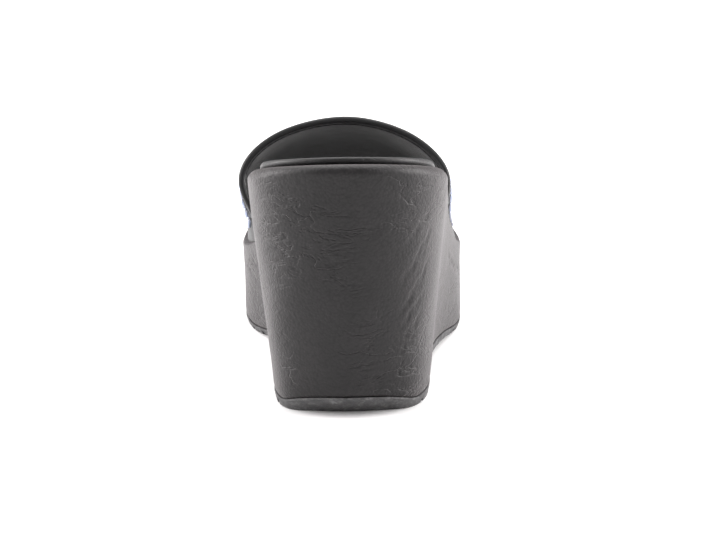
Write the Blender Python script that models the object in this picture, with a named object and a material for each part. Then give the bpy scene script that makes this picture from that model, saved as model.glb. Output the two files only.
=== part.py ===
"""Platform wedge sandal, right foot: a slide with one arched strap, open at the toe and at the heel.

Metres, +Z up, +Y towards the toe, +X towards the outer (lateral) side of the foot. The origin is the
middle of the heel's flat spot on the floor. Every section is worked out from the sole's length, its
widths at heel and ball, and its heights at heel and ball.

Pieces: the rubber outsole, the leather-wrapped wedge, the padded insole, the upper (one arched strap
with a real wall, open in front, behind and underneath) and the raised stripes laid over the strap.
"""
import bpy
import numpy as np

# Sole
SOLE_LENGTH = 0.233          # the wedge's top, from the back of the heel to the tip of the toe, level
HEEL_WIDTH = 0.0745          # widest part of the heel seat
BALL_WIDTH = 0.094           # widest part of the forefoot
HEEL_HEIGHT = 0.097          # floor to the wedge's top at the back of the heel
BALL_HEIGHT = 0.0352         # floor to the wedge's top under the ball of the foot
TOE_SPRING = 0.009           # lift of the outsole under the tip of the toe
WAIST_LIFT = 0.0025          # lift of the outsole between heel and ball
HEEL_TAPER = 0.0078          # how far each side of the heel slopes in, top to floor
BALL_TAPER = 0.0004          # how far each side of the forefoot slopes in
BACK_SLANT = 0.0095          # how far the back of the heel slopes forward, top to floor
HEEL_RIM = 0.004             # radius of the wedge's top edge round the heel
BALL_RIM = 0.0021            # radius of the wedge's top edge round the forefoot

# Outsole
OUTSOLE_HEEL = 0.0038        # thickness under the heel
OUTSOLE_BALL = 0.0026        # thickness under the forefoot
OUTSOLE_EDGE = 0.0007        # upright edge left above the bevel
BACK_BEVEL = 0.0085          # how far the bevel reaches under the back of the heel
BACK_RISE = 0.0042           # how far the outsole turns up at the back of the heel
SIDE_BEVEL = 0.0006          # the same along the sides
GROOVE_WIDTH = 0.0022
GROOVE_DEPTH = 0.0011
GROOVE_PITCH = 0.0105

# Insole and upper
CLEARANCE = 0.0003           # gap between two pieces that touch
STRAP_INSET = 0.002          # the strap's foot, in from the wedge's edge
STRAP_WALL = 0.0023          # leather and lining together
STRAP_HEIGHT = 0.0528        # the strap's crown above the wedge, at its rear edge
STRAP_EDGE = 0.0004          # how far the folded edge swells at front and rear
INSOLE_THICKNESS = 0.0025
INSOLE_CROWN = 0.0004        # extra height of the pad, away from its edge
INSOLE_SLOPE = 0.0020        # how far in from the rounded edge the crown is reached
INSOLE_EDGE = 0.0014         # radius of the pad's edge

# Stripes on the strap
STRIPE_ROWS = 19             # stripes that start at the rear border on each side, evenly spaced
STRIPE_FALL_ROWS = 9.4       # how many rows down the strap a stripe runs from rear to front edge
STRIPE_WIDTH = 0.0020
STRIPE_RAISE = 0.0010
STRIPE_MARGIN = 0.0034       # plain border left along the strap's edges and its centre line
STRIPE_FOOT = 0.0054         # plain border left above the strap's feet
STRIPE_LIFT = 0.0004         # from the strap's skin to the underside of a stripe

RING_POINTS = 72             # points round each level of the sole
STRAP_ACROSS = 44            # faces of the strap from one side to the other
STRAP_ALONG = 12             # faces of the strap from rear to front
STRIPE_STEP = 0.0085         # length of one facet along a stripe

# The wedge's top outline. along: share of SOLE_LENGTH from the back of the heel. side: share of half
# the width, HEEL_WIDTH behind the waist and BALL_WIDTH in front; + is the lateral side.
OUTLINE = [
    # along, side
    (0.000, 0.00),
    (0.028, 0.59),
    (0.075, 0.86),
    (0.150, 1.00),
    (0.240, 1.025),
    (0.330, 1.02),
    (0.430, 0.955),
    (0.530, 0.915),
    (0.630, 0.945),
    (0.730, 0.925),
    (0.830, 0.81),
    (0.910, 0.60),
    (0.970, 0.29),
    (1.000, -0.14),
    (0.985, -0.53),
    (0.935, -0.79),
    (0.860, -0.97),
    (0.780, -1.03),
    (0.700, -1.04),
    (0.610, -0.97),
    (0.520, -0.85),
    (0.420, -0.84),
    (0.330, -0.915),
    (0.240, -0.98),
    (0.150, -0.98),
    (0.075, -0.855),
    (0.028, -0.59),
]

# The wedge's top line. along: share of SOLE_LENGTH. climb: share of HEEL_HEIGHT - BALL_HEIGHT.
TOP_LINE = [
    # along, climb
    (0.00, 1.000),
    (0.08, 0.925),
    (0.20, 0.800),
    (0.30, 0.620),
    (0.40, 0.420),
    (0.50, 0.203),
    (0.58, 0.060),
    (0.66, 0.000),
    (0.78, 0.000),
    (0.90, 0.030),
    (1.00, 0.100),
]

# The strap, rear to front. depth: 0 at the rear edge, 1 at the front. medial, crown, lateral: share
# of SOLE_LENGTH where the strap's inner foot, crown and outer foot lie. height: share of
# STRAP_HEIGHT. swell_medial, swell_lateral: share of BALL_WIDTH by which the sides stand out past
# the strap's feet half way up, or lean in where it is negative. tuck_medial, tuck_lateral: share of
# BALL_WIDTH by which they are drawn in low down, just above the feet.
STRAP_SECTIONS = [
    # depth, medial, crown, lateral, height, swell_medial, swell_lateral, tuck_medial, tuck_lateral
    (0.00, 0.560, 0.602, 0.520, 1.000, 0.090, 0.012, 0.009, 0.014),
    (0.14, 0.595, 0.632, 0.557, 0.950, 0.050, -0.010, -0.002, 0.000),
    (0.35, 0.645, 0.675, 0.610, 0.865, 0.015, -0.029, -0.003, -0.002),
    (0.70, 0.725, 0.745, 0.695, 0.690, -0.003, -0.034, 0.000, 0.000),
    (1.00, 0.790, 0.803, 0.765, 0.530, -0.006, -0.030, 0.000, 0.000),
]

# One section of the strap from the medial foot to the lateral foot. across: share of the distance
# between the feet. rise: share of the section's height. swell, tuck: share of that side's swell and
# tuck. sweep: 0 at the foot's place along the sole, 1 at the crown's.
STRAP_ARCH = [
    # across, rise, swell, tuck, sweep
    (0.000, 0.00, 0.00, 0.00, 0.00),
    (0.000, 0.17, 0.40, 1.00, 0.12),
    (0.000, 0.46, 1.00, 0.20, 0.42),
    (0.040, 0.71, 0.80, 0.00, 0.70),
    (0.200, 0.92, 0.35, 0.00, 0.92),
    (0.460, 1.00, 0.00, 0.00, 1.00),
    (0.715, 0.92, 0.35, 0.00, 0.92),
    (0.920, 0.70, 0.85, 0.00, 0.68),
    (1.000, 0.45, 1.00, 0.20, 0.40),
    (1.000, 0.20, 0.60, 1.00, 0.14),
    (1.000, 0.00, 0.00, 0.00, 0.00),
]

# A stripe's own section. side: share of its width. lift: share of its raise.
STRIPE_SECTION = [
    # side, lift
    (-0.50, 0.0),
    (0.50, 0.0),
    (0.42, 0.6),
    (0.16, 1.0),
    (-0.16, 1.0),
    (-0.42, 0.6),
]

# A stripe's width and raise along it. place: 0 at its rear end, 1 at its front. size: share of both.
STRIPE_SHAPE = [
    # place, size
    (0.00, 0.30),
    (0.04, 0.82),
    (0.30, 1.00),
    (0.65, 0.95),
    (0.96, 0.66),
    (1.00, 0.30),
]

# Places along the sole, as shares of its length
HEEL_FLAT = (0.080, 0.270)       # the outsole's flat spot under the heel
BALL_FLAT = (0.600, 0.780)       # and under the forefoot
WAIST = (0.30, 0.60)             # where the heel's sizes turn into the ball's
WAIST_TOP = (0.42, 0.45)         # where the outsole is lifted most
RIM_TURN = (0.12, 0.36)          # where the heel's rim narrows to the ball's
BACK_TURN = (0.035, 0.105)       # where the outsole turns up at the back of the heel
TREAD = ((0.125, 0.28), (0.545, 0.945))      # where the underside is grooved

ORIGIN_ALONG = 0.5 * (HEEL_FLAT[0] + HEEL_FLAT[1]) * SOLE_LENGTH


def smooth(x, low, high):
    """0 below low, 1 above high, and the curve 3t^2 - 2t^3 between them."""
    t = np.clip((x - low) / (high - low), 0.0, 1.0)
    return t * t * (3.0 - 2.0 * t)


def spline(knots, values):
    """The natural cubic spline through values at knots, as a function; values may be rows."""
    knots = np.asarray(knots, float)
    values = np.asarray(values, float)
    values = values.reshape(len(knots), -1)
    steps = np.diff(knots)
    matrix = np.eye(len(knots))
    right = np.zeros_like(values)
    for i in range(1, len(knots) - 1):
        matrix[i, i - 1:i + 2] = steps[i - 1], 2.0 * (steps[i - 1] + steps[i]), steps[i]
        right[i] = 6.0 * (values[i + 1] - values[i]) / steps[i]
        right[i] -= 6.0 * (values[i] - values[i - 1]) / steps[i - 1]
    bend = np.linalg.solve(matrix, right)

    def curve(x):
        x = np.clip(np.asarray(x, float), knots[0], knots[-1])
        k = np.clip(np.searchsorted(knots, x, side="right") - 1, 0, len(knots) - 2)
        h = steps[k][..., None]
        a = (knots[k + 1] - x)[..., None]
        b = (x - knots[k])[..., None]
        y = bend[k] * a ** 3 / (6 * h) + bend[k + 1] * b ** 3 / (6 * h)
        y = y + (values[k] / h - bend[k] * h / 6) * a + (values[k + 1] / h - bend[k + 1] * h / 6) * b
        return y[..., 0] if y.shape[-1] == 1 else y
    return curve


def closed_spline(points):
    """The cubic spline round a closed row of points, as a function of 0 to 1 round the loop."""
    points = np.asarray(points, float)
    wrapped = np.concatenate([points[-4:], points, points[:5]])
    chords = np.sqrt(np.linalg.norm(np.diff(wrapped, axis=0), axis=1))
    knots = np.concatenate([[0.0], np.cumsum(chords)])
    first = knots[4]
    last = knots[4 + len(points)]
    curve = spline(knots, wrapped)
    return lambda t: curve(first + np.asarray(t) * (last - first))


def half_width(along):
    """Half of the sole's width scale at a share of its length."""
    heel_to_ball = smooth(along, *WAIST)
    return 0.5 * (HEEL_WIDTH + (BALL_WIDTH - HEEL_WIDTH) * heel_to_ball)


def outline_loop():
    """The wedge's top outline, RING_POINTS points evenly round it, from the heel along the lateral side."""
    table = np.array(OUTLINE)
    corners = np.column_stack([table[:, 1] * half_width(table[:, 0]), table[:, 0] * SOLE_LENGTH])
    curve = closed_spline(corners)
    fine = curve(np.linspace(0.0, 1.0, 2001))
    run = np.concatenate([[0.0], np.cumsum(np.linalg.norm(np.diff(fine, axis=0), axis=1))])
    places = np.linspace(0.0, run[-1], RING_POINTS, endpoint=False)
    return np.column_stack([np.interp(places, run, fine[:, 0]), np.interp(places, run, fine[:, 1])])


LOOP = outline_loop()
TANGENT = np.roll(LOOP, -1, axis=0) - np.roll(LOOP, 1, axis=0)
TANGENT = TANGENT / np.linalg.norm(TANGENT, axis=1)[:, None]
OUTWARD = np.column_stack([TANGENT[:, 1], -TANGENT[:, 0]])
LOOP_ALONG = LOOP[:, 1] / SOLE_LENGTH
BACKWARD = np.clip(-OUTWARD[:, 1], 0.0, 1.0) * (1.0 - smooth(LOOP_ALONG, 0.0, WAIST[0]))

climb = spline(*np.array(TOP_LINE).T)


def top_height(y):
    """Height of the wedge's top at a distance y from the back of the heel."""
    return BALL_HEIGHT + (HEEL_HEIGHT - BALL_HEIGHT) * climb(y / SOLE_LENGTH)


def ground_height(y):
    """Height of the outsole's underside: flat at heel and ball, lifted at the waist and the toe."""
    along = y / SOLE_LENGTH
    waist = smooth(along, HEEL_FLAT[1], WAIST_TOP[0]) * (1.0 - smooth(along, WAIST_TOP[1], BALL_FLAT[0]))
    toe = np.clip((along - BALL_FLAT[1]) / (1.0 - BALL_FLAT[1]), 0.0, None)
    return WAIST_LIFT * waist + TOE_SPRING * toe ** 2


def seam_height(y):
    """Height of the line where the wrapped wedge meets the outsole."""
    along = y / SOLE_LENGTH
    thickness = OUTSOLE_HEEL + (OUTSOLE_BALL - OUTSOLE_HEEL) * smooth(along, *WAIST)
    return ground_height(y) + thickness + BACK_RISE * (1.0 - smooth(along, *BACK_TURN))


def side_slope():
    """How far each point of the outline moves in from the wedge's top to its foot."""
    sides = HEEL_TAPER + (BALL_TAPER - HEEL_TAPER) * smooth(LOOP_ALONG, *WAIST)
    return sides + (BACK_SLANT - sides) * BACKWARD


def ring(inset, height):
    """The outline moved in by inset (a number or one for each point), at height(y)."""
    flat = LOOP - OUTWARD * np.broadcast_to(inset, len(LOOP))[:, None]
    return np.column_stack([flat, height(flat[:, 1])])


def to_frame(points):
    """Points measured from the back of the heel, moved to the part's own origin."""
    return np.asarray(points, float) - (0.0, ORIGIN_ALONG, 0.0)


def ladder(indices):
    """Triangles that close a ring, as rungs between its two sides from the heel to the toe."""
    n = len(indices)
    faces = [(indices[0], indices[1], indices[n - 1])]
    for i in range(1, n // 2 - 1):
        a, b = indices[i], indices[i + 1]
        c, d = indices[n - i - 1], indices[n - i]
        faces += [(a, b, c), (a, c, d)]
    faces.append((indices[n // 2 - 1], indices[n // 2], indices[n // 2 + 1]))
    return faces


def stack_of_rings(rings):
    """A closed body through rings from the lowest to the highest, its ends closed by ladders."""
    n = len(rings[0])
    faces = []
    for level in range(len(rings) - 1):
        low = level * n
        for i in range(n):
            j = (i + 1) % n
            faces += [(low + i, low + j, low + n + j), (low + i, low + n + j, low + n + i)]
    faces += [tuple(reversed(face)) for face in ladder(list(range(n)))]
    faces += ladder(list(range((len(rings) - 1) * n, len(rings) * n)))
    return np.concatenate(rings), faces


def finish(name, colour, roughness):
    """A material of one colour."""
    material = bpy.data.materials.new(name)
    material.use_nodes = True
    shader = material.node_tree.nodes["Principled BSDF"]
    shader.inputs["Base Color"].default_value = (*colour, 1.0)
    shader.inputs["Roughness"].default_value = roughness
    shader.inputs["Metallic"].default_value = 0.0
    return material


def add_piece(name, points, faces, material, group):
    """One named object from points measured from the back of the heel."""
    mesh = bpy.data.meshes.new(name)
    mesh.from_pydata(to_frame(points).tolist(), [], faces)
    mesh.validate()
    mesh.shade_smooth()
    mesh.set_sharp_from_angle(angle=np.radians(40))
    mesh.materials.append(material)
    piece = bpy.data.objects.new(name, mesh)
    group.objects.link(piece)
    return piece


def add_outsole(group, cutters):
    """The rubber outsole: flat under heel and ball, bevelled up round the back of the heel."""
    slope = side_slope()
    bevel = SIDE_BEVEL + (BACK_BEVEL - SIDE_BEVEL) * BACKWARD ** 2
    top = ring(slope, lambda y: seam_height(y) - CLEARANCE)
    edge = ring(slope, lambda y: seam_height(y) - CLEARANCE - OUTSOLE_EDGE)
    foot = ring(slope + bevel, ground_height)
    points, faces = stack_of_rings([foot, edge, top])
    outsole = add_piece("outsole", points, faces, finish("rubber", (0.03, 0.03, 0.032), 0.75), group)

    cutter = add_grooves(cutters)
    cut = outsole.modifiers.new("grooves", "BOOLEAN")
    cut.operation = "DIFFERENCE"
    cut.solver = "EXACT"
    cut.object = cutter


def groove_places():
    """The y of each groove across the underside, under the heel and from the waist to the toe."""
    places = []
    for start, end in TREAD:
        low = start * SOLE_LENGTH
        count = int((end - start) * SOLE_LENGTH // GROOVE_PITCH) + 1
        places += [low + k * GROOVE_PITCH for k in range(count)]
    return places


def add_grooves(cutters):
    """Bars that cut straight grooves across the outsole's underside."""
    bars = []
    for y in groove_places():
        bpy.ops.mesh.primitive_cube_add(size=1.0)
        bar = bpy.context.object
        bar.scale = (1.5 * BALL_WIDTH, GROOVE_WIDTH, 2.0 * GROOVE_DEPTH)
        bar.location = to_frame((0.0, y, ground_height(y)))
        bars.append(bar)
    with bpy.context.temp_override(active_object=bars[0], selected_editable_objects=bars):
        bpy.ops.object.join()
    cutter = bars[0]
    cutter.name = "groove_cutter"
    for owner in list(cutter.users_collection):
        owner.objects.unlink(cutter)
    cutters.objects.link(cutter)
    cutter.hide_render = True
    cutter.display_type = "WIRE"
    return cutter


def add_wedge(group):
    """The wrapped wedge: sloping walls, a rounded top edge and the footbed's climb to the heel."""
    rim = HEEL_RIM + (BALL_RIM - HEEL_RIM) * smooth(LOOP_ALONG, *RIM_TURN)
    slope = side_slope()
    rings = [ring(slope, seam_height)]
    for angle in np.radians((0, 30, 60, 90)):
        inset = rim * (1.0 - np.cos(angle))
        level = ring(inset, top_height)
        level[:, 2] -= rim * (1.0 - np.sin(angle))
        rings.append(level)
    rings.insert(1, 0.5 * (rings[0] + rings[1]))
    points, faces = stack_of_rings(rings)
    add_piece("wedge", points, faces, finish("wedge leather", (0.02, 0.02, 0.022), 0.42), group)


def add_insole(group):
    """The padded insole, inside the strap's feet, with a rounded edge and a slight crown."""
    edge = STRAP_INSET + STRAP_WALL + 2.0 * CLEARANCE
    seat = lambda y: top_height(y) + CLEARANCE
    rings = [ring(edge, seat)]
    for angle in np.radians((0, 45, 90)):
        drop = INSOLE_EDGE * (1.0 - np.sin(angle))
        inset = edge + INSOLE_EDGE * (1.0 - np.cos(angle))
        level = ring(inset, seat)
        level[:, 2] += INSOLE_THICKNESS - drop
        rings.append(level)
    crown = ring(edge + INSOLE_EDGE + INSOLE_SLOPE, seat)
    crown[:, 2] += INSOLE_THICKNESS + INSOLE_CROWN
    rings.append(crown)
    points, faces = stack_of_rings(rings)
    add_piece("insole", points, faces, finish("insole leather", (0.02, 0.02, 0.022), 0.5), group)


def side_edge(side, inset):
    """x of the wedge's outline on one side (+1 lateral, -1 medial), in by inset, as a function of y."""
    inner = LOOP - OUTWARD * inset
    chosen = inner[inner[:, 0] * side > 0.3 * HEEL_WIDTH]
    chosen = chosen[np.argsort(chosen[:, 1])]
    return lambda y: np.interp(y, chosen[:, 1], chosen[:, 0])


STRAP_FEET = (side_edge(-1, STRAP_INSET), side_edge(1, STRAP_INSET))
strap_row = spline(np.array(STRAP_SECTIONS)[:, 0], np.array(STRAP_SECTIONS)[:, 1:])
arch_steps = np.linalg.norm(np.diff(np.array(STRAP_ARCH)[:, :2], axis=0), axis=1)
arch_knots = np.concatenate([[0.0], np.cumsum(arch_steps)])
arch_row = spline(arch_knots / arch_knots[-1], STRAP_ARCH)


def strap_point(across, depth):
    """The strap's outer skin: across 0 at the medial foot to 1 at the lateral, depth 0 rear to 1 front.

    A section's feet stand on the wedge, in from its outline; between them the arch table gives the
    share of the way across, of the section's height, of the side's swell and tuck and of the sweep.
    """
    across, depth = np.broadcast_arrays(np.asarray(across, float), np.asarray(depth, float))
    medial, crown, lateral, height, *sides = np.moveaxis(strap_row(depth), -1, 0)
    swell_medial, swell_lateral, tuck_medial, tuck_lateral = sides
    share, rise, swell, tuck, sweep = np.moveaxis(arch_row(across), -1, 0)
    lateral_half = smooth(across, 0.35, 0.65)
    foot = medial + (lateral - medial) * lateral_half
    y = SOLE_LENGTH * (foot + (crown - foot) * np.clip(sweep, 0.0, 1.0))
    left = STRAP_FEET[0](SOLE_LENGTH * medial)
    right = STRAP_FEET[1](SOLE_LENGTH * lateral)
    lateral_out = swell_lateral * swell - tuck_lateral * tuck
    medial_out = swell_medial * swell - tuck_medial * tuck
    outward = lateral_out * lateral_half - medial_out * (1.0 - lateral_half)
    x = left + (right - left) * share + BALL_WIDTH * outward
    z = top_height(y) + CLEARANCE + STRAP_HEIGHT * height * rise
    return np.stack([x, y, z], axis=-1)


def strap_normal(across, depth):
    """The outward direction of the strap's skin, from small steps each way."""
    step = 1e-3
    by_across = strap_point(across + step, depth) - strap_point(across - step, depth)
    by_depth = strap_point(across, depth + step) - strap_point(across, depth - step)
    normal = np.cross(by_across, by_depth)
    return normal / np.linalg.norm(normal, axis=-1)[..., None]


def arch_share():
    """across as a function of the share of the strap's girth, measured half way along the strap."""
    across = np.linspace(0.0, 1.0, 401)
    girth = strap_point(across, 0.5)
    run = np.concatenate([[0.0], np.cumsum(np.linalg.norm(np.diff(girth, axis=0), axis=1))])
    return lambda share: np.interp(share * run[-1], run, across), run[-1]


evenly, STRAP_GIRTH = arch_share()


def add_upper(group):
    """The strap: an outer and an inner skin with a real wall, open in front, behind and underneath."""
    across = evenly(np.linspace(0.0, 1.0, STRAP_ACROSS + 1))
    depth = np.linspace(0.0, 1.0, STRAP_ALONG + 1)
    across, depth = np.meshgrid(across, depth, indexing="ij")
    inside = np.clip(across, 1e-3, 1.0 - 1e-3)
    normal = strap_normal(inside, np.clip(depth, 1e-3, 1.0 - 1e-3))
    outer = strap_point(across, depth)
    inner = outer - STRAP_WALL * normal
    for side in (0, -1):
        inner[side, :, 2] = top_height(inner[side, :, 1]) + CLEARANCE
    middle = 0.5 * (outer + inner)
    rear = middle[:, 0] - STRAP_EDGE * unit(outer[:, 1] - outer[:, 0])
    front = middle[:, -1] + STRAP_EDGE * unit(outer[:, -1] - outer[:, -2])

    columns = STRAP_ALONG + 1
    rows = STRAP_ACROSS + 1
    loops = np.concatenate([outer, front[:, None], inner[:, ::-1], rear[:, None]], axis=1)
    width = loops.shape[1]
    faces = []
    for i in range(rows - 1):
        for j in range(width):
            k = (j + 1) % width
            a, b = i * width + j, i * width + k
            c, d = (i + 1) * width + k, (i + 1) * width + j
            faces += [(a, c, b), (a, d, c)]
    for i, turn in ((0, 1), (rows - 1, -1)):
        base = i * width
        loop = list(range(base, base + width))
        for j in range(columns - 1):
            a, b = loop[j], loop[j + 1]
            c, d = loop[2 * columns - 1 - j], loop[2 * columns - j]
            faces += [(a, b, c)[::turn], (a, c, d)[::turn]]
        faces.append((loop[columns - 1], loop[columns], loop[columns + 1])[::turn])
        faces.append((loop[2 * columns], loop[2 * columns + 1], loop[0])[::turn])
    points = loops.reshape(-1, 3)
    add_piece("upper", points, faces, finish("strap leather", (0.015, 0.015, 0.017), 0.5), group)


def unit(vectors):
    """Each vector at length 1."""
    return vectors / np.linalg.norm(vectors, axis=-1)[..., None]


def stripe_runs():
    """Start and end (share of girth down from the centre line, depth) of each stripe of one side.

    The stripes slope down and forward in rows that divide the side evenly between its borders.
    Each starts at the rear border or at the centre line, and ends at the front border or at the foot's.
    """
    margin = STRIPE_MARGIN / STRAP_GIRTH
    room = 0.5 - (STRIPE_MARGIN + STRIPE_FOOT) / STRAP_GIRTH
    pitch = room / STRIPE_ROWS
    fall = pitch * STRIPE_FALL_ROWS
    depth_size = SOLE_LENGTH * (STRAP_SECTIONS[-1][2] - STRAP_SECTIONS[0][2])
    edge = STRIPE_MARGIN / depth_size
    runs = []
    for k in range(-int(STRIPE_FALL_ROWS), STRIPE_ROWS):
        level = (k + 0.5) * pitch
        start = max(edge, -level / fall)
        end = min(1.0 - edge, (room - level) / fall)
        if (end - start) * depth_size > 2.0 * STRIPE_WIDTH:
            runs.append(((margin + level + fall * start, start), (margin + level + fall * end, end)))
    return runs


def add_stripe(name, side, start, end, material, group):
    """One raised stripe: a low domed bar that follows the strap's skin and narrows to its ends."""
    start, end = np.array(start), np.array(end)
    ends = strap_point(evenly(0.5 + side * np.array([start[0], end[0]])), np.array([start[1], end[1]]))
    length = np.linalg.norm(ends[1] - ends[0])
    tips, sizes = np.array(STRIPE_SHAPE).T
    inner = np.linspace(tips[1], tips[-2], max(2, round(length / STRIPE_STEP)) + 1)
    place = np.concatenate([tips[:1], inner, tips[-1:]])
    size = np.interp(place, tips, sizes)
    line = start + (end - start) * place[:, None]
    across = evenly(0.5 + side * line[:, 0])
    centre = strap_point(across, line[:, 1])
    normal = strap_normal(across, line[:, 1])
    run = unit(np.gradient(centre, axis=0))
    sideways = unit(np.cross(normal, run))
    section = np.array(STRIPE_SECTION)
    offset = STRIPE_WIDTH * size[:, None, None] * section[None, :, :1] * sideways[:, None]
    lift = STRIPE_LIFT + STRIPE_RAISE * size[:, None, None] * section[None, :, 1:]
    points = centre[:, None] + offset + lift * normal[:, None]
    count = len(section)
    steps = len(place)
    faces = []
    for i in range(steps - 1):
        for j in range(count):
            k = (j + 1) % count
            a, b = i * count + j, i * count + k
            c, d = (i + 1) * count + k, (i + 1) * count + j
            faces += [(a, b, c), (a, c, d)]
    last = (steps - 1) * count
    for j in range(1, count - 1):
        faces += [(0, j + 1, j), (last, last + j, last + j + 1)]
    points = points.reshape(-1, 3)
    add_piece(name, points, faces, material, group)


def add_stripes(group):
    """The stripes of both sides of the strap, mirrored about its centre line."""
    material = finish("stripe enamel", (0.72, 0.76, 0.90), 0.2)
    for word, side in (("medial", -1), ("lateral", 1)):
        for number, (start, end) in enumerate(stripe_runs(), start=1):
            add_stripe(f"stripe_{word}_{number:02d}", side, start, end, material, group)


def build():
    """The whole sandal in one collection, its groove cutter in another."""
    for item in list(bpy.data.objects):
        bpy.data.objects.remove(item, do_unlink=True)
    group = bpy.data.collections.new("platform_sandal")
    cutters = bpy.data.collections.new("cutters")
    for collection in (group, cutters):
        bpy.context.scene.collection.children.link(collection)
    add_outsole(group, cutters)
    add_wedge(group)
    add_insole(group)
    add_upper(group)
    add_stripes(group)


build()
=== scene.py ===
"""Platform wedge sandal, right foot, seen from behind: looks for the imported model.

Metres, in the frame of the CAD: +Z up, +Y towards the toe, +X towards the outer side of the foot. Shapes
are worked out from the back of the heel along y, and moved to the part's origin when they are laid down.
"""

import bmesh
import bpy
import numpy as np
from mathutils import Matrix, Vector


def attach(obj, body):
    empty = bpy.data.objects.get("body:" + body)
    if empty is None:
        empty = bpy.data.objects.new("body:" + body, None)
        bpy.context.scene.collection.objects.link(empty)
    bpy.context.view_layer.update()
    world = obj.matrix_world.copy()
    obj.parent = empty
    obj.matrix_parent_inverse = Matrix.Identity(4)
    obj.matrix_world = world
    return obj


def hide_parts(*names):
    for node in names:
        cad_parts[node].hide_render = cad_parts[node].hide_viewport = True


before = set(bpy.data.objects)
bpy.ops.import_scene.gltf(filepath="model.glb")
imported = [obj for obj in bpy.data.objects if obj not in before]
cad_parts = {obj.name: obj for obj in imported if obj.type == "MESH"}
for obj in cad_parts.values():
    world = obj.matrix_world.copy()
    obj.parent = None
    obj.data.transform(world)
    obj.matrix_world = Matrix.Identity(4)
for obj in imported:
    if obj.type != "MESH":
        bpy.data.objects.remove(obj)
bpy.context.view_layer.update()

# The wedge
# A light core, high under the heel and level under the ball, wrapped in one skin of fine black leather
# that is drawn over a rounded top edge. The skin creases where it is pulled round the heel's corners.

SOLE_LENGTH = 0.233          # the wedge's top, from the back of the heel to the tip of the toe
HEEL_WIDTH = 0.0745          # widest part of the heel seat
BALL_WIDTH = 0.094           # widest part of the forefoot
HEEL_HEIGHT = 0.097          # floor to the wedge's top at the back of the heel
BALL_HEIGHT = 0.0352         # floor to the wedge's top under the ball
TOE_SPRING = 0.009           # lift of the outsole under the tip of the toe
WAIST_LIFT = 0.0025          # lift of the outsole between heel and ball
HEEL_TAPER = 0.0078          # how far each side of the heel slopes in, top to floor
BALL_TAPER = 0.0004          # how far each side of the forefoot slopes in
BACK_SLANT = 0.0095          # how far the back of the heel slopes forward
HEEL_RIM = 0.004             # radius of the top edge round the heel
BALL_RIM = 0.0021            # radius of the top edge round the forefoot
OUTSOLE_HEEL = 0.0038        # thickness of the outsole under the heel
OUTSOLE_BALL = 0.0026        # and under the forefoot
BACK_RISE = 0.0042           # how far the outsole turns up at the back of the heel
HEEL_FLAT = (0.080, 0.270)   # shares of the length where the outsole is flat under the heel
BALL_FLAT = (0.600, 0.780)   # and under the forefoot
WAIST = (0.30, 0.60)         # where the heel's sizes turn into the ball's
WAIST_TOP = (0.42, 0.45)     # where the outsole is lifted most
RIM_TURN = (0.12, 0.36)      # where the heel's rim narrows to the ball's
BACK_TURN = (0.035, 0.105)   # where the outsole turns up at the back of the heel
TURN_UNDER = 0.0011          # radius with which the skin turns under the core at the bottom seam
ORIGIN_ALONG = 0.5 * (HEEL_FLAT[0] + HEEL_FLAT[1]) * SOLE_LENGTH

# along: share of the length from the back of the heel. side: share of half the width there.
OUTLINE = [
    (0.000, 0.00), (0.028, 0.59), (0.075, 0.86), (0.150, 1.00), (0.240, 1.025), (0.330, 1.02),
    (0.430, 0.955), (0.530, 0.915), (0.630, 0.945), (0.730, 0.925), (0.830, 0.81), (0.910, 0.60),
    (0.970, 0.29), (1.000, -0.14), (0.985, -0.53), (0.935, -0.79), (0.860, -0.97), (0.780, -1.03),
    (0.700, -1.04), (0.610, -0.97), (0.520, -0.85), (0.420, -0.84), (0.330, -0.915), (0.240, -0.98),
    (0.150, -0.98), (0.075, -0.855), (0.028, -0.59),
]

# along: share of the length. climb: share of the rise from the ball to the heel.
TOP_LINE = [
    (0.00, 1.000), (0.08, 0.925), (0.20, 0.800), (0.30, 0.620), (0.40, 0.420), (0.50, 0.203),
    (0.58, 0.060), (0.66, 0.000), (0.78, 0.000), (0.90, 0.030), (1.00, 0.100),
]

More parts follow.
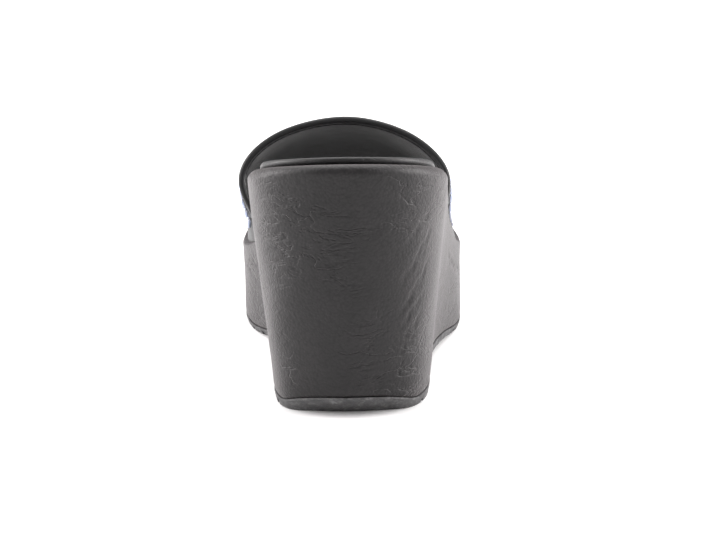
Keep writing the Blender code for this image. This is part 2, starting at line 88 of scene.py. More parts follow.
# Creases of the skin. from_run, to_run: metres round the wall from the back of the heel, + on the
# lateral side. from_height, to_height: metres above the floor. bow: how far the middle of the crease
# sags. depth, width: of its trough.
CREASES = [
    # from_run, from_height, to_run, to_height, bow, depth, width
    (0.0400, 0.0760, 0.0250, 0.0640, 0.0012, 0.00030, 0.0012),
    (0.0410, 0.0690, 0.0265, 0.0575, -0.0010, 0.00036, 0.0011),
    (0.0395, 0.0620, 0.0235, 0.0500, 0.0014, 0.00040, 0.0012),
    (0.0400, 0.0560, 0.0270, 0.0455, -0.0012, 0.00034, 0.0010),
    (0.0385, 0.0495, 0.0240, 0.0390, 0.0010, 0.00040, 0.0012),
    (0.0380, 0.0430, 0.0255, 0.0335, 0.0012, 0.00034, 0.0011),
    (0.0370, 0.0365, 0.0230, 0.0280, -0.0010, 0.00036, 0.0012),
    (0.0360, 0.0300, 0.0240, 0.0225, 0.0008, 0.00030, 0.0010),
    (-0.0385, 0.0830, -0.0270, 0.0850, 0.0008, 0.00026, 0.0010),
    (-0.0390, 0.0720, -0.0265, 0.0735, -0.0008, 0.00028, 0.0010),
    (-0.0400, 0.0610, -0.0280, 0.0640, 0.0008, 0.00026, 0.0009),
    (-0.0390, 0.0500, -0.0270, 0.0515, 0.0010, 0.00024, 0.0010),
    (-0.0380, 0.0400, -0.0260, 0.0395, -0.0006, 0.00026, 0.0010),
    (-0.0370, 0.0290, -0.0240, 0.0265, -0.0008, 0.00028, 0.0011),
    (-0.0345, 0.0190, -0.0200, 0.0170, 0.0006, 0.00026, 0.0010),
    (0.0300, 0.0165, 0.0120, 0.0150, 0.0005, 0.00022, 0.0009),
    (0.0080, 0.0128, -0.0160, 0.0132, 0.0003, 0.00018, 0.0008),
    (-0.1340, 0.0360, -0.1500, 0.0300, 0.0012, 0.00028, 0.0011),
    (-0.1460, 0.0300, -0.1660, 0.0275, 0.0016, 0.00030, 0.0011),
    (-0.1560, 0.0250, -0.1790, 0.0255, 0.0018, 0.00026, 0.0011),
    (0.1260, 0.0400, 0.1430, 0.0330, 0.0014, 0.00028, 0.0011),
    (0.1380, 0.0320, 0.1600, 0.0280, 0.0016, 0.00030, 0.0011),
    (0.1500, 0.0260, 0.1750, 0.0250, 0.0016, 0.00026, 0.0011),
]


def smooth(x, low, high):
    """0 below low, 1 above high, and three squares less two cubes of the share between them."""
    t = np.clip((x - low) / (high - low), 0.0, 1.0)
    return t * t * (3.0 - 2.0 * t)


def spline(knots, values):
    """The natural cubic spline through values at knots, as a function; values may be rows."""
    knots = np.asarray(knots, float)
    values = np.asarray(values, float).reshape(len(knots), -1)
    steps = np.diff(knots)
    matrix = np.eye(len(knots))
    right = np.zeros_like(values)
    for i in range(1, len(knots) - 1):
        matrix[i, i - 1:i + 2] = steps[i - 1], 2.0 * (steps[i - 1] + steps[i]), steps[i]
        right[i] = 6.0 * (values[i + 1] - values[i]) / steps[i]
        right[i] -= 6.0 * (values[i] - values[i - 1]) / steps[i - 1]
    bend = np.linalg.solve(matrix, right)

    def curve(x):
        x = np.clip(np.asarray(x, float), knots[0], knots[-1])
        k = np.clip(np.searchsorted(knots, x, side="right") - 1, 0, len(knots) - 2)
        h = steps[k][..., None]
        a = (knots[k + 1] - x)[..., None]
        b = (x - knots[k])[..., None]
        y = bend[k] * a ** 3 / (6 * h) + bend[k + 1] * b ** 3 / (6 * h)
        y = y + (values[k] / h - bend[k] * h / 6) * a + (values[k + 1] / h - bend[k + 1] * h / 6) * b
        return y[..., 0] if y.shape[-1] == 1 else y
    return curve


def closed_spline(points):
    """The cubic spline round a closed row of points, its knots apart by the root of each chord."""
    points = np.asarray(points, float)
    wrapped = np.concatenate([points[-4:], points, points[:5]])
    chords = np.sqrt(np.linalg.norm(np.diff(wrapped, axis=0), axis=1))
    knots = np.concatenate([[0.0], np.cumsum(chords)])
    first = knots[4]
    last = knots[4 + len(points)]
    curve = spline(knots, wrapped)
    return lambda t: curve(first + np.asarray(t) * (last - first))


table = np.array(OUTLINE)
half_widths = 0.5 * (HEEL_WIDTH + (BALL_WIDTH - HEEL_WIDTH) * smooth(table[:, 0], *WAIST))
outline_curve = closed_spline(np.column_stack([table[:, 1] * half_widths, table[:, 0] * SOLE_LENGTH]))
outline_fine = outline_curve(np.linspace(0.0, 1.0, 6001))
outline_run = np.cumsum(np.linalg.norm(np.diff(outline_fine, axis=0, prepend=outline_fine[:1]), axis=1))
OUTLINE_GIRTH = outline_run[-1]


def outline_at(round_share):
    """Points on the wedge's top outline and the level directions outwards, by share of its girth."""
    def spot(share):
        place = (share % 1.0) * OUTLINE_GIRTH
        return np.stack([np.interp(place, outline_run, outline_fine[:, k]) for k in (0, 1)], axis=-1)

    ahead = spot(round_share + 8e-4) - spot(round_share - 8e-4)
    ahead = ahead / np.linalg.norm(ahead, axis=-1, keepdims=True)
    return spot(round_share), np.stack([ahead[..., 1], -ahead[..., 0]], axis=-1)


climb = spline(*np.array(TOP_LINE).T)


def top_height(y):
    """Height of the wedge's top: the ball's height and the rise to the heel times the top line."""
    return BALL_HEIGHT + (HEEL_HEIGHT - BALL_HEIGHT) * climb(y / SOLE_LENGTH)


def ground_height(y):
    """Height of the outsole's underside: flat at heel and ball, lifted at the waist and the toe."""
    along = y / SOLE_LENGTH
    waist = smooth(along, HEEL_FLAT[1], WAIST_TOP[0]) * (1.0 - smooth(along, WAIST_TOP[1], BALL_FLAT[0]))
    toe = np.clip((along - BALL_FLAT[1]) / (1.0 - BALL_FLAT[1]), 0.0, None)
    return WAIST_LIFT * waist + TOE_SPRING * toe ** 2


def seam_height(y):
    """Height of the seam of wedge and outsole: the ground, the outsole's thickness and its turn up."""
    along = y / SOLE_LENGTH
    thickness = OUTSOLE_HEEL + (OUTSOLE_BALL - OUTSOLE_HEEL) * smooth(along, *WAIST)
    return ground_height(y) + thickness + BACK_RISE * (1.0 - smooth(along, *BACK_TURN))


class Outline:
    """The sole's outline at chosen shares of its girth, with what each ring of the sole needs."""

    def __init__(self, round_share):
        self.spot, self.outward = outline_at(round_share)
        self.along = self.spot[:, 1] / SOLE_LENGTH
        self.backward = np.clip(-self.outward[:, 1], 0.0, 1.0) * (1.0 - smooth(self.along, 0.0, WAIST[0]))
        sides = HEEL_TAPER + (BALL_TAPER - HEEL_TAPER) * smooth(self.along, *WAIST)
        self.slope = sides + (BACK_SLANT - sides) * self.backward

    def ring(self, inset, height, lift=0.0):
        """The outline moved in by inset, at height(y) plus lift."""
        flat = self.spot - self.outward * np.broadcast_to(inset, len(self.spot))[:, None]
        return np.column_stack([flat, height(flat[:, 1]) + lift])


def grid_faces(rows, columns, closed_rows=False, closed_columns=False):
    """Four-cornered faces of a grid of points kept row by row, as an array."""
    i, j = np.meshgrid(np.arange(rows - (not closed_rows)), np.arange(columns - (not closed_columns)),
                       indexing="ij")
    below = (i + 1) % rows * columns
    beside = (j + 1) % columns
    return np.stack([i * columns + j, i * columns + beside, below + beside, below + j], -1).reshape(-1, 4)


def rungs(ring, columns, height):
    """A cap inside a ring: straight rungs between its two sides, each point at height(x, y, share)."""
    half = len(ring) // 2
    near = ring[np.arange(half + 1)][:, None, :2]
    far = ring[-np.arange(half + 1)][:, None, :2]
    share = np.linspace(0.0, 1.0, columns)[None, :, None]
    flat = near * (1.0 - share) + far * share
    level = height(flat[..., 0], flat[..., 1], np.broadcast_to(share[..., 0], flat.shape[:2]))
    return np.concatenate([flat, level[..., None]], axis=-1)


def lay(name, sheets, flat_angle=40.0):
    """One closed object of several sheets, each a grid of points, its faces and its material's number.

    The sheets' common borders are merged and all faces turned outwards.
    """
    points, faces, kinds = [], [], []
    count = 0
    for grid, corners, kind in sheets:
        points.append(grid.reshape(-1, 3) - (0.0, ORIGIN_ALONG, 0.0))
        faces.append(corners + count)
        kinds.append(np.full(len(corners), kind))
        count += len(points[-1])
    mesh = bpy.data.meshes.new(name)
    mesh.from_pydata(np.concatenate(points).tolist(), [], np.concatenate(faces).tolist())
    mesh.polygons.foreach_set("material_index", np.concatenate(kinds).astype(np.int32))
    work = bmesh.new()
    work.from_mesh(mesh)
    bmesh.ops.remove_doubles(work, verts=work.verts, dist=2e-6)
    bmesh.ops.dissolve_degenerate(work, edges=work.edges, dist=1e-7)
    bmesh.ops.recalc_face_normals(work, faces=work.faces)
    work.to_mesh(mesh)
    work.free()
    mesh.shade_smooth()
    mesh.set_sharp_from_angle(angle=np.radians(flat_angle))
    piece = bpy.data.objects.new(name, mesh)
    bpy.context.scene.collection.objects.link(piece)
    return piece


class Value:
    """A socket of a finish. Python's + - * and abs() on it add the Math node that works them out."""

    def __init__(self, finish, socket):
        self.finish = finish
        self.socket = socket

    def maths(self, operation, *terms):
        return self.finish.node("ShaderNodeMath", {"operation": operation}, dict(enumerate(terms)))

    def __add__(self, other):
        return self.maths("ADD", self, other)

    def __sub__(self, other):
        return self.maths("SUBTRACT", self, other)

    def __rsub__(self, other):
        return self.maths("SUBTRACT", other, self)

    def __mul__(self, other):
        return self.maths("MULTIPLY", self, other)

    def __abs__(self):
        return self.maths("ABSOLUTE", self)

    __radd__ = __add__
    __rmul__ = __mul__

    def between(self, low, high):
        """0 below low, 1 above high and a soft step between."""
        return self.finish.node("ShaderNodeMapRange", {"interpolation_type": "SMOOTHSTEP"},
                                {"Value": self, "From Min": low, "From Max": high})


class Finish:
    """One material: its principled shader with what stays the same set on it, and nodes added by name."""

    def __init__(self, name, **steady):
        self.material = bpy.data.materials.new(name)
        self.material.use_nodes = True
        self.tree = self.material.node_tree
        self.shader = self.tree.nodes["Principled BSDF"]
        for word, value in steady.items():
            self.shader.inputs[word.replace("_", " ").title().replace("Ior", "IOR")].default_value = value
        self.place = self.node("ShaderNodeTexCoord", output="Object")

    def node(self, kind, settings=None, sockets=None, output=0):
        """A node of a kind, its settings first, then the values or links of its sockets."""
        made = self.tree.nodes.new(kind)
        for word, value in (settings or {}).items():
            if word == "stops":
                for _ in range(len(value) - 2):
                    made.color_ramp.elements.new(0.5)
                for element, (spot, colour) in zip(made.color_ramp.elements, value):
                    element.position = spot
                    element.color = (*colour, 1.0)
            else:
                setattr(made, word, value)
        for word, value in (sockets or {}).items():
            if isinstance(value, Value):
                self.tree.links.new(value.socket, made.inputs[word])
            else:
                made.inputs[word].default_value = value
        return Value(self, made.outputs[output])

    def stretched(self, size):
        """The piece's own place, drawn out along each axis by size."""
        return self.node("ShaderNodeMapping", {"vector_type": "TEXTURE"},
                         {"Vector": self.place, "Scale": size})

    def cloud(self, size, detail=2.0, roughness=0.5, place=None, twist=0.0):
        """Soft noise from 0 to 1 with blotches about size metres across."""
        return self.node("ShaderNodeTexNoise", sockets={
            "Vector": place or self.place, "Scale": 1.0 / size, "Detail": detail,
            "Roughness": roughness, "Distortion": twist})

    def pebbles(self, size, place=None):
        """0 in the middle of each grain of the leather and about 1 in the furrow round it."""
        return self.node("ShaderNodeTexVoronoi", {"feature": "SMOOTH_F1"}, {
            "Vector": place or self.place, "Scale": 1.0 / size, "Smoothness": 0.35})

    def wrinkles(self, size, fineness, place=None):
        """1 along thin winding lines and 0 between them: where a noise crosses its middle."""
        noise = self.cloud(size, 3.0, 0.55, place, 0.6)
        return 1.0 - abs(noise - 0.5).between(0.0, fineness)

    def mixed(self, share, first, second):
        """Two colours mixed, the second by share."""
        return self.node("ShaderNodeMix", {"data_type": "RGBA"},
                         {0: share, 6: (*first, 1.0) if isinstance(first, tuple) else first,
                          7: (*second, 1.0) if isinstance(second, tuple) else second}, output=2)

    def relief(self, height, depth, below=None):
        """A bump of height times depth metres, on top of another bump."""
        sockets = {"Height": height, "Distance": depth, "Strength": 1.0}
        if below is not None:
            sockets["Normal"] = below
        return self.node("ShaderNodeBump", sockets=sockets)

    def wear(self, **sockets):
        """Links what changes over the surface to the shader and gives the material."""
        for word, value in sockets.items():
            self.tree.links.new(value.socket, self.shader.inputs[word.replace("_", " ").title()])
        return self.material


def wrap_leather():
    """Fine pebbled black leather, its furrows rougher and darkened with painted shade, with shallow
    winding wrinkles pressed in.
    """
    leather = Finish("wedge leather", specular_ior_level=0.30, sheen_weight=0.22, sheen_roughness=0.42,
                     sheen_tint=(1.0, 0.93, 0.94, 1.0))
    bent = leather.node("ShaderNodeVectorMath", {"operation": "MULTIPLY_ADD"}, {
        0: leather.node("ShaderNodeTexNoise", sockets={"Vector": leather.place, "Scale": 420.0,
                                                       "Detail": 1.0}, output="Color"),
        1: (0.0007, 0.0007, 0.0007), 2: leather.place})
    grain = leather.pebbles(0.00105, bent)
    small = leather.cloud(0.00045, 3.0, 0.6)
    folds = leather.wrinkles(0.0125, 0.05, leather.stretched((1.0, 1.0, 0.45)))
    where = leather.cloud(0.034, 1.0).between(0.44, 0.60)
    patches = leather.cloud(0.011, 3.0, 0.6)
    tone = leather.mixed(patches.between(0.30, 0.75), (0.0068, 0.0062, 0.0066), (0.0120, 0.0108, 0.0114))
    # Painted shade: the furrows of the grain, which the bump sinks, are mixed towards a darker black.
    tone = leather.mixed(grain.between(0.45, 0.85) * 0.6, tone, (0.0040, 0.0038, 0.0040))
    rough = 0.36 + patches * 0.14 + grain * 0.10
    bump = leather.relief(folds * where, -0.00016)
    bump = leather.relief(1.0 - grain, 0.00012, bump)
    bump = leather.relief(small, 0.00005, bump)
    return leather.wear(base_color=tone, roughness=rough, normal=bump)


def creased(points, run, outward):
    """The wall's points moved along outward by the creases and by slow waves of the skin.

    A crease is a trough of depth times e to the minus square of the distance over the width, between
    two ridges of a third of its depth; it fades out at both ends.
    """
    height = points[..., 2]
    shift = 0.00010 * np.sin(run / 0.0061 + 2.1 * np.sin(height / 0.013))
    shift = shift + 0.00008 * np.sin(height / 0.0052 + 1.7 * np.sin(run / 0.011))
    for run_a, height_a, run_b, height_b, bow, depth, width in CREASES:
        step = np.array([run_b - run_a, height_b - height_a])
        length = np.linalg.norm(step)
        step = step / length
        ahead = (run - run_a) * step[0] + (height - height_a) * step[1]
        aside = (height - height_a) * step[0] - (run - run_a) * step[1]
        share = ahead / length
        aside = (aside + bow * 4.0 * share * (1.0 - share) + 0.0004 * np.sin(ahead / 0.0011)) / width
        fade = smooth(share, -0.12, 0.3) * (1.0 - smooth(share, 0.6, 1.12))
        ridge = np.exp(-(aside - 1.7) ** 2) + np.exp(-(aside + 1.7) ** 2)
        shift = shift + depth * fade * (0.35 * ridge - np.exp(-aside ** 2))
    inside = smooth(height, points[0, ..., 2], points[0, ..., 2] + 0.004)
    return points + (shift * inside)[..., None] * np.concatenate([outward, 0.0 * outward[..., :1]], -1)


ROUND = 720                  # points round the wedge
WALL_LEVELS = 76             # rows of points up its wall, before those in the seam's turn are left out
CAP_COLUMNS = 28             # points along each rung of its top and its underside
sole = Outline(np.arange(ROUND) / ROUND)
rim = HEEL_RIM + (BALL_RIM - HEEL_RIM) * smooth(sole.along, *RIM_TURN)
foot = sole.ring(sole.slope, seam_height)
shoulder = sole.ring(0.0, top_height, -rim)
lean = np.linspace(0.0, 1.0, WALL_LEVELS)[:, None, None]
wall = foot + (shoulder - foot) * lean
run = np.arange(ROUND) / ROUND
run = np.where(run > 0.5, run - 1.0, run) * OUTLINE_GIRTH
wall = creased(wall, np.broadcast_to(run, wall.shape[:2]),
               np.broadcast_to(sole.outward, (WALL_LEVELS, ROUND, 2)))
under = []
for angle in np.radians((80.0, 55.0, 30.0, 12.0)):
    under.append(sole.ring(sole.slope + TURN_UNDER * (1.0 - np.cos(angle)), seam_height,
                           TURN_UNDER * (1.0 - np.sin(angle))))
wall = wall[wall[:, 0, 2] > foot[0, 2] + TURN_UNDER + 0.0004]
over = []
for angle in np.radians((12.0, 24.0, 36.0, 48.0, 60.0, 72.0, 90.0)):
    over.append(sole.ring(rim * (1.0 - np.cos(angle)), top_height, -rim * (1.0 - np.sin(angle))))
levels = np.stack([*under, *wall, *over])
wedge = lay("wrapped_wedge", [
    (levels, grid_faces(len(levels), ROUND, closed_columns=True), 0),
    (rungs(levels[-1], CAP_COLUMNS, lambda x, y, share: top_height(y)),
     grid_faces(ROUND // 2 + 1, CAP_COLUMNS), 0),
    (rungs(levels[0], CAP_COLUMNS, lambda x, y, share: seam_height(y)),
     grid_faces(ROUND // 2 + 1, CAP_COLUMNS), 0),
])
wedge.data.materials.append(wrap_leather())
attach(wedge, "root")
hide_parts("wedge")

# The outsole
# One moulded sheet of black rubber, cemented under the wedge. Its skin is rough and dusty, it has
# straight grooves across under heel and ball, and it turns up in a bevel round the back of the heel.

CLEARANCE = 0.0003           # gap between two pieces that touch
OUTSOLE_EDGE = 0.0007        # upright edge above the bevel
BACK_BEVEL = 0.0085          # how far the bevel reaches under the back of the heel
SIDE_BEVEL = 0.0006          # the same along the sides
GROOVE_WIDTH = 0.0022
GROOVE_DEPTH = 0.0011
GROOVE_PITCH = 0.0105
GROOVE_WALL = 0.00015        # how wide each of a groove's two steep sides is
TREAD = ((0.125, 0.28), (0.545, 0.945))      # shares of the length where the underside is grooved
TREAD_ROWS = 190             # rows of points along the outsole, besides those at the grooves
TREAD_COLUMNS = 24           # points along each rung of its underside
SEAM_COLUMNS = 12            # and of its upper side, which the wedge hides


def sole_rubber():
    """Moulded rubber: a grey bloom in blotches over black, and a coarse grit in the skin."""
    rubber = Finish("outsole rubber", specular_ior_level=0.35, metallic=0.0)
    bloom = rubber.cloud(0.0035, 4.0, 0.65)
    grit = rubber.cloud(0.0008, 3.0, 0.7)
    pits = rubber.pebbles(0.0013)
    tone = rubber.node("ShaderNodeValToRGB", {"stops": [
        (0.30, (0.030, 0.030, 0.031)), (0.52, (0.080, 0.079, 0.080)), (0.72, (0.190, 0.188, 0.190))]},
        {"Fac": bloom * 0.6 + grit * 0.4})
    bump = rubber.relief(grit, 0.00022)
    bump = rubber.relief(pits, -0.00012, bump)
    return rubber.wear(base_color=tone, roughness=0.62 + grit * 0.25, normal=bump)


groove_start = np.concatenate([
    low * SOLE_LENGTH + GROOVE_PITCH * np.arange(int((high - low) * SOLE_LENGTH // GROOVE_PITCH) + 1)
    for low, high in TREAD]) - 0.5 * GROOVE_WIDTH


def groove_lift(y):
    """How far the underside is cut away at y: the groove's depth, less on its two steep sides."""
    across = y[..., None] - groove_start
    start = smooth(across, 0.0, GROOVE_WALL)
    cut = start * (1.0 - smooth(across, GROOVE_WIDTH - GROOVE_WALL, GROOVE_WIDTH))
    return GROOVE_DEPTH * cut.max(axis=-1)


trial_share = np.linspace(0.0, 1.0, 4001)
trial = Outline(trial_share)
trial_bevel = SIDE_BEVEL + (BACK_BEVEL - SIDE_BEVEL) * trial.backward ** 2
trial_y = trial.ring(trial.slope + trial_bevel, ground_height)[:, 1]
tip = np.argmax(trial_y)
first_y = max(trial_y[0], trial_y[-1])
rows = np.linspace(0.0, 1.0, TREAD_ROWS)
rows = first_y + (trial_y[tip] - first_y) * 0.5 * (1.0 - np.cos(np.pi * rows))
marks = groove_start[:, None] + (-0.0001, 0.0, GROOVE_WALL, GROOVE_WIDTH - GROOVE_WALL, GROOVE_WIDTH)
rows = np.sort(np.concatenate([rows[1:-1], marks.ravel()]))
rows = rows[np.concatenate([[True], np.diff(rows) > 5e-5])]
lateral_share = np.interp(rows, trial_y[:tip], trial_share[:tip])
medial_share = np.interp(rows, trial_y[tip:][::-1], trial_share[tip:][::-1])
tread = Outline(np.concatenate([[0.0], lateral_share, [trial_share[tip]], medial_share[::-1]]))
bevel = SIDE_BEVEL + (BACK_BEVEL - SIDE_BEVEL) * tread.backward ** 2
sole_foot = tread.ring(tread.slope + bevel, ground_height)
sole_foot[:, 2] += groove_lift(sole_foot[:, 1])
sole_side = [sole_foot]
for share in (0.25, 0.5, 0.75):
    side = tread.ring(tread.slope + bevel * (1.0 - share), ground_height)
    high = tread.ring(tread.slope, seam_height)[:, 2] - CLEARANCE - OUTSOLE_EDGE
    side[:, 2] = sole_foot[:, 2] + (high - sole_foot[:, 2]) * share
    sole_side.append(side)
sole_side.append(tread.ring(tread.slope, seam_height, -CLEARANCE - OUTSOLE_EDGE))
sole_side.append(tread.ring(tread.slope, seam_height, -CLEARANCE - 0.00015))
sole_side.append(tread.ring(tread.slope + 0.00015, seam_height, -CLEARANCE))
levels = np.stack(sole_side)
count = levels.shape[1]
outsole = lay("rubber_outsole", [
    (levels, grid_faces(len(levels), count, closed_columns=True), 0),
    (rungs(levels[0], TREAD_COLUMNS, lambda x, y, share: ground_height(y) + groove_lift(y)),
     grid_faces(count // 2 + 1, TREAD_COLUMNS), 0),
    (rungs(levels[-1], SEAM_COLUMNS, lambda x, y, share: seam_height(y) - CLEARANCE),
     grid_faces(count // 2 + 1, SEAM_COLUMNS), 0),
], 32.0)
outsole.data.materials.append(sole_rubber())
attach(outsole, "root")
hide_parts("outsole")

# The insole
# A thin foam pad covered in smooth black leather, cut to lie inside the strap's feet. Its edge is
# turned under and stands a little off the wedge, which leaves a dark line between the two.

STRAP_INSET = 0.002          # the strap's foot, in from the wedge's edge
STRAP_WALL = 0.0023          # leather and lining together
INSOLE_THICKNESS = 0.0025
INSOLE_CROWN = 0.0004        # extra height of the pad inside its border
INSOLE_EDGE = 0.0014         # radius of the pad's edge
INSOLE_BORDER = 0.0085       # how far in from the edge the crown is reached


def pad_leather():
    """Smooth satin leather over foam, with fine grain and faint crossing creases."""
    leather = Finish("insole leather", specular_ior_level=0.38, sheen_weight=0.12, sheen_roughness=0.45)
    grain = leather.pebbles(0.0008)
    folds = leather.wrinkles(0.007, 0.04, leather.stretched((1.0, 0.55, 1.0)))
    patches = leather.cloud(0.02, 3.0)
    tone = leather.mixed(patches.between(0.3, 0.7), (0.0070, 0.0068, 0.0072), (0.0130, 0.0124, 0.0130))
    bump = leather.relief(folds, -0.00006)
    bump = leather.relief(1.0 - grain, 0.00007, bump)
    return leather.wear(base_color=tone, roughness=0.38 + patches * 0.12 + grain * 0.08, normal=bump)


PAD_ROUND = 480              # points round the pad
PAD_TOP_COLUMNS = 40         # points along each rung of its upper side
PAD_SEAT_COLUMNS = 20        # and of its underside
pad = Outline(np.arange(PAD_ROUND) / PAD_ROUND)
pad_edge = STRAP_INSET + STRAP_WALL + 2.0 * CLEARANCE


def pad_seat(y):
    """Height of the underside of the insole."""
    return top_height(y) + CLEARANCE


pad_levels = []
for angle in np.radians((-90.0, -55.0, -25.0, 0.0, 20.0, 40.0, 60.0, 75.0, 90.0)):
    low = angle < 0.0
    lift = INSOLE_THICKNESS - INSOLE_EDGE * (1.0 - np.sin(angle))
    if low:
        lift = (INSOLE_THICKNESS - INSOLE_EDGE) * (1.0 + np.sin(angle))
    pad_levels.append(pad.ring(pad_edge + INSOLE_EDGE * (1.0 - np.cos(angle)) * (0.45 if low else 1.0),
                               pad_seat, lift))
for inset in np.linspace(0.0, 1.0, 9)[1:]:
    pad_levels.append(pad.ring(pad_edge + INSOLE_EDGE + INSOLE_BORDER * inset, pad_seat,
                               INSOLE_THICKNESS + INSOLE_CROWN * smooth(inset, 0.0, 1.0)))
levels = np.stack(pad_levels)


def pad_top(x, y, share):
    """The pad's upper side: thickness and crown, with slow swells of the foam."""
    middle = np.sin(np.pi * share)
    swell = 0.00012 * middle * np.sin(y / 0.009 + 1.3 * np.sin(x / 0.008)) * np.sin(x / 0.0075)
    return pad_seat(y) + INSOLE_THICKNESS + INSOLE_CROWN + swell


insole = lay("padded_insole", [
    (levels, grid_faces(len(levels), PAD_ROUND, closed_columns=True), 0),
    (rungs(levels[-1], PAD_TOP_COLUMNS, pad_top), grid_faces(PAD_ROUND // 2 + 1, PAD_TOP_COLUMNS), 0),
    (rungs(levels[0], PAD_SEAT_COLUMNS, lambda x, y, share: pad_seat(y)),
     grid_faces(PAD_ROUND // 2 + 1, PAD_SEAT_COLUMNS), 0),
])
insole.data.materials.append(pad_leather())
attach(insole, "root")
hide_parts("insole")

# The strap
# Black leather with a brushed black lining, folded over at the front and the rear edge and sewn down
# there, and set into the wedge's wrap at its two feet. It is pulled over the last into one arch.

STRAP_HEIGHT = 0.0528        # the crown above the wedge, at the rear edge
STRAP_FOLD = 0.0008          # how far the rounded folded edge stands out at front and rear
HEM_WIDTH = 0.0030           # leather turned over the edge to the inside
HEM_RAISE = 0.00030

# depth: 0 at the rear edge, 1 at the front. medial, crown, lateral: share of the length where the
# section's feet and crown lie. height: share of STRAP_HEIGHT. swell and tuck: shares of BALL_WIDTH by
# which a side stands out past its foot higher up, and is drawn in just above it.
STRAP_SECTIONS = [
    # depth, medial, crown, lateral, height, swell_medial, swell_lateral, tuck_medial, tuck_lateral
    (0.00, 0.560, 0.602, 0.520, 1.000, 0.090, 0.012, 0.009, 0.014),
    (0.14, 0.595, 0.632, 0.557, 0.950, 0.050, -0.010, -0.002, 0.000),
    (0.35, 0.645, 0.675, 0.610, 0.865, 0.015, -0.029, -0.003, -0.002),
    (0.70, 0.725, 0.745, 0.695, 0.690, -0.003, -0.034, 0.000, 0.000),
    (1.00, 0.790, 0.803, 0.765, 0.530, -0.006, -0.030, 0.000, 0.000),
]

# across: share of the way between the feet. rise: share of the height. swell: share of the side's
# swell. tuck: share of its tuck. sweep: 0 at the foot's place along the sole, 1 at the crown's.
STRAP_ARCH = [
    # across, rise, swell, tuck, sweep
    (0.000, 0.00, 0.00, 0.00, 0.00),
    (0.000, 0.17, 0.40, 1.00, 0.12),
    (0.000, 0.46, 1.00, 0.20, 0.42),
    (0.040, 0.71, 0.80, 0.00, 0.70),
    (0.200, 0.92, 0.35, 0.00, 0.92),
    (0.460, 1.00, 0.00, 0.00, 1.00),
    (0.715, 0.92, 0.35, 0.00, 0.92),
    (0.920, 0.70, 0.85, 0.00, 0.68),
    (1.000, 0.45, 1.00, 0.20, 0.40),
    (1.000, 0.20, 0.60, 1.00, 0.14),
    (1.000, 0.00, 0.00, 0.00, 0.00),
]


def side_edge(side, inset):
    """x of the sole's outline on one side (+1 lateral, -1 medial), moved in, as a function of y."""
    spot, outward = outline_at(np.arange(72) / 72)
    inner = spot - outward * inset
    chosen = inner[inner[:, 0] * side > 0.3 * HEEL_WIDTH]
    chosen = chosen[np.argsort(chosen[:, 1])]
    return lambda y: np.interp(y, chosen[:, 1], chosen[:, 0])


STRAP_FEET = (side_edge(-1, STRAP_INSET), side_edge(1, STRAP_INSET))
strap_row = spline(np.array(STRAP_SECTIONS)[:, 0], np.array(STRAP_SECTIONS)[:, 1:])
arch_steps = np.linalg.norm(np.diff(np.array(STRAP_ARCH)[:, :2], axis=0), axis=1)
arch_knots = np.concatenate([[0.0], np.cumsum(arch_steps)])
arch_row = spline(arch_knots / arch_knots[-1], STRAP_ARCH)


def strap_point(across, depth):
    """The strap's outer skin: across 0 at the medial foot to 1 at the lateral, depth 0 rear to 1 front.

    The feet stand on the wedge; between them the arch's table gives the shares of the way across, of
    the section's height, of the side's swell and tuck and of the sweep from foot to crown.
    """
    across, depth = np.broadcast_arrays(np.asarray(across, float), np.asarray(depth, float))
    medial, crown, lateral, height, *sides = np.moveaxis(strap_row(depth), -1, 0)
    swell_medial, swell_lateral, tuck_medial, tuck_lateral = sides
    share, rise, swell, tuck, sweep = np.moveaxis(arch_row(across), -1, 0)
    lateral_half = smooth(across, 0.35, 0.65)
    place = medial + (lateral - medial) * lateral_half
    y = SOLE_LENGTH * (place + (crown - place) * np.clip(sweep, 0.0, 1.0))
    left = STRAP_FEET[0](SOLE_LENGTH * medial)
    right = STRAP_FEET[1](SOLE_LENGTH * lateral)
    lateral_out = swell_lateral * swell - tuck_lateral * tuck
    medial_out = swell_medial * swell - tuck_medial * tuck
    outward = lateral_out * lateral_half - medial_out * (1.0 - lateral_half)
    x = left + (right - left) * share + BALL_WIDTH * outward
    z = top_height(y) + CLEARANCE + STRAP_HEIGHT * height * rise
    return np.stack([x, y, z], axis=-1)


def unit(vectors):
    """Each vector at length 1."""
    return vectors / np.linalg.norm(vectors, axis=-1, keepdims=True)


def strap_normal(across, depth):
    """The strap's direction outwards: the cross product of short steps across and along it."""
    across = np.clip(across, 1e-3, 1.0 - 1e-3)
    depth = np.clip(depth, 1e-3, 1.0 - 1e-3)
    by_across = strap_point(across + 1e-3, depth) - strap_point(across - 1e-3, depth)
    by_depth = strap_point(across, depth + 1e-3) - strap_point(across, depth - 1e-3)
    return unit(np.cross(by_across, by_depth))


girth_across = np.linspace(0.0, 1.0, 401)
girth_steps = np.diff(strap_point(girth_across, 0.5), axis=0, prepend=strap_point([0.0], [0.5]))
girth_run = np.cumsum(np.linalg.norm(girth_steps, axis=1))
STRAP_GIRTH = girth_run[-1]
STRAP_LONG = SOLE_LENGTH * (STRAP_SECTIONS[-1][2] - STRAP_SECTIONS[0][2])


def evenly(share):
    """across for a share of the strap's girth, measured half way along it."""
    return np.interp(share * STRAP_GIRTH, girth_run, girth_across)


def strap_leather():
    """Smooth black leather with a very fine grain, seen between the stripes and on the folded edge."""
    leather = Finish("strap leather", specular_ior_level=0.40, sheen_weight=0.10, sheen_roughness=0.4)
    grain = leather.pebbles(0.0007)
    patches = leather.cloud(0.012, 3.0)
    tone = leather.mixed(patches, (0.0055, 0.0055, 0.0060), (0.0100, 0.0098, 0.0104))
    bump = leather.relief(1.0 - grain, 0.00006)
    return leather.wear(base_color=tone, roughness=0.36 + grain * 0.12 + patches * 0.08, normal=bump)


